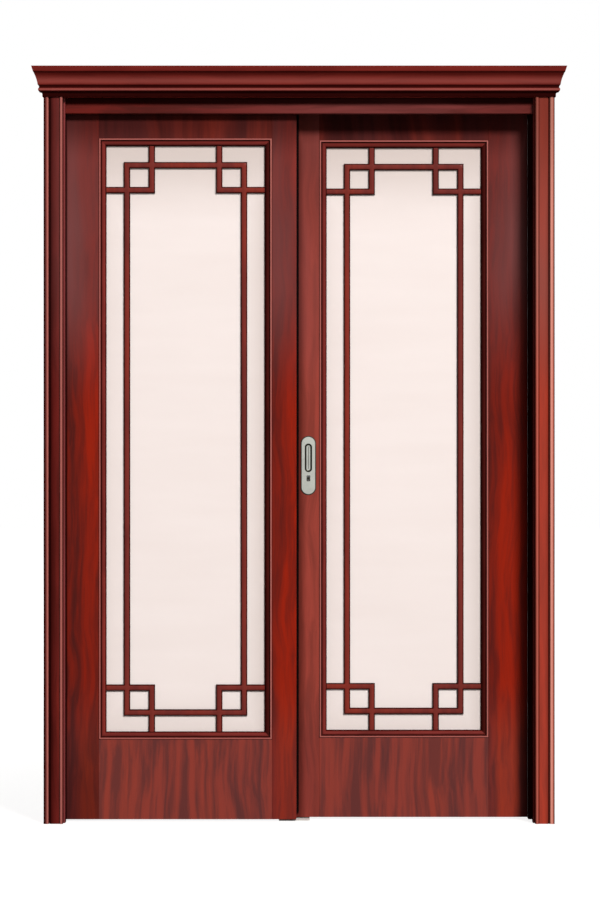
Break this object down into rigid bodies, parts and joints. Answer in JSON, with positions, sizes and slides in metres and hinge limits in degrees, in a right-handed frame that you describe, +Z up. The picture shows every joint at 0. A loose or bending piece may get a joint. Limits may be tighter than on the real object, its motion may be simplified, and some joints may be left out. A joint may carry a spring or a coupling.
{
  "type": "sliding double door with frame",
  "caption": "Bypass sliding door in a moulded timber frame, with frosted glass leaves, a corner-square lattice, a flush pull with a hook lock and top-hung trolleys.",
  "frame": {"origin": "middle of the foot of the whole part, on the floor line", "axes": "+X along the wall to the right seen from the front, +Y away from the viewer through the wall, +Z up"},
  "size_m": [1.566, 0.237, 2.22],
  "materials": {
    "mahogany": "semi-gloss lacquer",
    "frosted_glass": "frosted",
    "satin_nickel": "satin",
    "track_aluminium": "anodised",
    "zinc_steel": "zinc plated",
    "nylon": "matte",
    "stop_rubber": "matte",
    "pile_seal": "pile"
  },
  "bodies": {
    "frame": {"casing_left": "mahogany", "casing_right": "mahogany", "crown_front": "mahogany", "crown_return_left": "mahogany", "crown_return_right": "mahogany", "floor_guide": "nylon", "frieze": "mahogany", "head_lining": "mahogany", "jamb_left": "mahogany", "jamb_right": "mahogany", "pelmet_front": "mahogany", "pelmet_rear": "mahogany", "rear_casing_head": "mahogany", "rear_casing_left": "mahogany", "rear_casing_right": "mahogany", "track_front": "track_aluminium", "track_rear": "track_aluminium", "track_screws": "zinc_steel", "track_stops": "stop_rubber"},
    "front_leaf": {"front_leaf_axles": "zinc_steel", "front_leaf_back_beads": "mahogany", "front_leaf_back_lattice": "mahogany", "front_leaf_bottom_rail": "mahogany", "front_leaf_carriages": "zinc_steel", "front_leaf_face_beads": "mahogany", "front_leaf_face_lattice": "mahogany", "front_leaf_glass": "frosted_glass", "front_leaf_hanger_fasteners": "zinc_steel", "front_leaf_hanger_plates": "zinc_steel", "front_leaf_jamb_stile": "mahogany", "front_leaf_meeting_seal": "pile_seal", "front_leaf_meeting_stile": "mahogany", "front_leaf_top_rail": "mahogany"},
    "rear_leaf": {"rear_leaf_axles": "zinc_steel", "rear_leaf_back_beads": "mahogany", "rear_leaf_back_lattice": "mahogany", "rear_leaf_bottom_rail": "mahogany", "rear_leaf_carriages": "zinc_steel", "rear_leaf_face_beads": "mahogany", "rear_leaf_face_lattice": "mahogany", "rear_leaf_glass": "frosted_glass", "rear_leaf_hanger_fasteners": "zinc_steel", "rear_leaf_hanger_plates": "zinc_steel", "rear_leaf_jamb_stile": "mahogany", "rear_leaf_meeting_stile": "mahogany", "rear_leaf_top_rail": "mahogany", "pull_face": "satin_nickel", "pull_back": "satin_nickel", "lock_case": "zinc_steel"},
    "lock_works": {"lock_hook": "zinc_steel", "thumb_turn": "satin_nickel"},
    "front_wheels_1": {"front_leaf_wheels_1": "nylon"},
    "front_wheels_2": {"front_leaf_wheels_2": "nylon"},
    "front_wheels_3": {"front_leaf_wheels_3": "nylon"},
    "front_wheels_4": {"front_leaf_wheels_4": "nylon"},
    "rear_wheels_1": {"rear_leaf_wheels_1": "nylon"},
    "rear_wheels_2": {"rear_leaf_wheels_2": "nylon"},
    "rear_wheels_3": {"rear_leaf_wheels_3": "nylon"},
    "rear_wheels_4": {"rear_leaf_wheels_4": "nylon"}
  },
  "joints": [
    {"name": "front_leaf_slide", "type": "slide", "parent": "frame", "child": "front_leaf", "axis": [1, 0, 0], "range_m": [0, 0.64]},
    {"name": "rear_leaf_slide", "type": "slide", "parent": "frame", "child": "rear_leaf", "axis": [-1, 0, 0], "range_m": [0, 0.64]},
    {"name": "lock_turn", "type": "hinge", "parent": "rear_leaf", "child": "lock_works", "pos_m": [0.0276, 0.0445, 1.0127], "axis": [0, -1, 0], "range_deg": [0, 90]},
    {"name": "front_wheels_1_roll", "type": "hinge", "parent": "front_leaf", "child": "front_wheels_1", "pos_m": [-0.668, -0.0055, 2.1253], "axis": [0, 1, 0], "range_deg": [0, 3340]},
    {"name": "front_wheels_2_roll", "type": "hinge", "parent": "front_leaf", "child": "front_wheels_2", "pos_m": [-0.632, -0.0055, 2.1253], "axis": [0, 1, 0], "range_deg": [0, 3340]},
    {"name": "front_wheels_3_roll", "type": "hinge", "parent": "front_leaf", "child": "front_wheels_3", "pos_m": [-0.062, -0.0055, 2.1253], "axis": [0, 1, 0], "range_deg": [0, 3340]},
    {"name": "front_wheels_4_roll", "type": "hinge", "parent": "front_leaf", "child": "front_wheels_4", "pos_m": [-0.026, -0.0055, 2.1253], "axis": [0, 1, 0], "range_deg": [0, 3340]},
    {"name": "rear_wheels_1_roll", "type": "hinge", "parent": "rear_leaf", "child": "rear_wheels_1", "pos_m": [0.639, 0.0445, 2.1253], "axis": [0, -1, 0], "range_deg": [0, 3340]},
    {"name": "rear_wheels_2_roll", "type": "hinge", "parent": "rear_leaf", "child": "rear_wheels_2", "pos_m": [0.603, 0.0445, 2.1253], "axis": [0, -1, 0], "range_deg": [0, 3340]},
    {"name": "rear_wheels_3_roll", "type": "hinge", "parent": "rear_leaf", "child": "rear_wheels_3", "pos_m": [0.033, 0.0445, 2.1253], "axis": [0, -1, 0], "range_deg": [0, 3340]},
    {"name": "rear_wheels_4_roll", "type": "hinge", "parent": "rear_leaf", "child": "rear_wheels_4", "pos_m": [-0.003, 0.0445, 2.1253], "axis": [0, -1, 0], "range_deg": [0, 3340]}
  ],
  "couplings": [
    {"joint": "front_wheels_1_roll", "follows": "front_leaf_slide", "rad_per_m": 90.909},
    {"joint": "front_wheels_2_roll", "follows": "front_leaf_slide", "rad_per_m": 90.909},
    {"joint": "front_wheels_3_roll", "follows": "front_leaf_slide", "rad_per_m": 90.909},
    {"joint": "front_wheels_4_roll", "follows": "front_leaf_slide", "rad_per_m": 90.909},
    {"joint": "rear_wheels_1_roll", "follows": "rear_leaf_slide", "rad_per_m": 90.909},
    {"joint": "rear_wheels_2_roll", "follows": "rear_leaf_slide", "rad_per_m": 90.909},
    {"joint": "rear_wheels_3_roll", "follows": "rear_leaf_slide", "rad_per_m": 90.909},
    {"joint": "rear_wheels_4_roll", "follows": "rear_leaf_slide", "rad_per_m": 90.909}
  ]
}
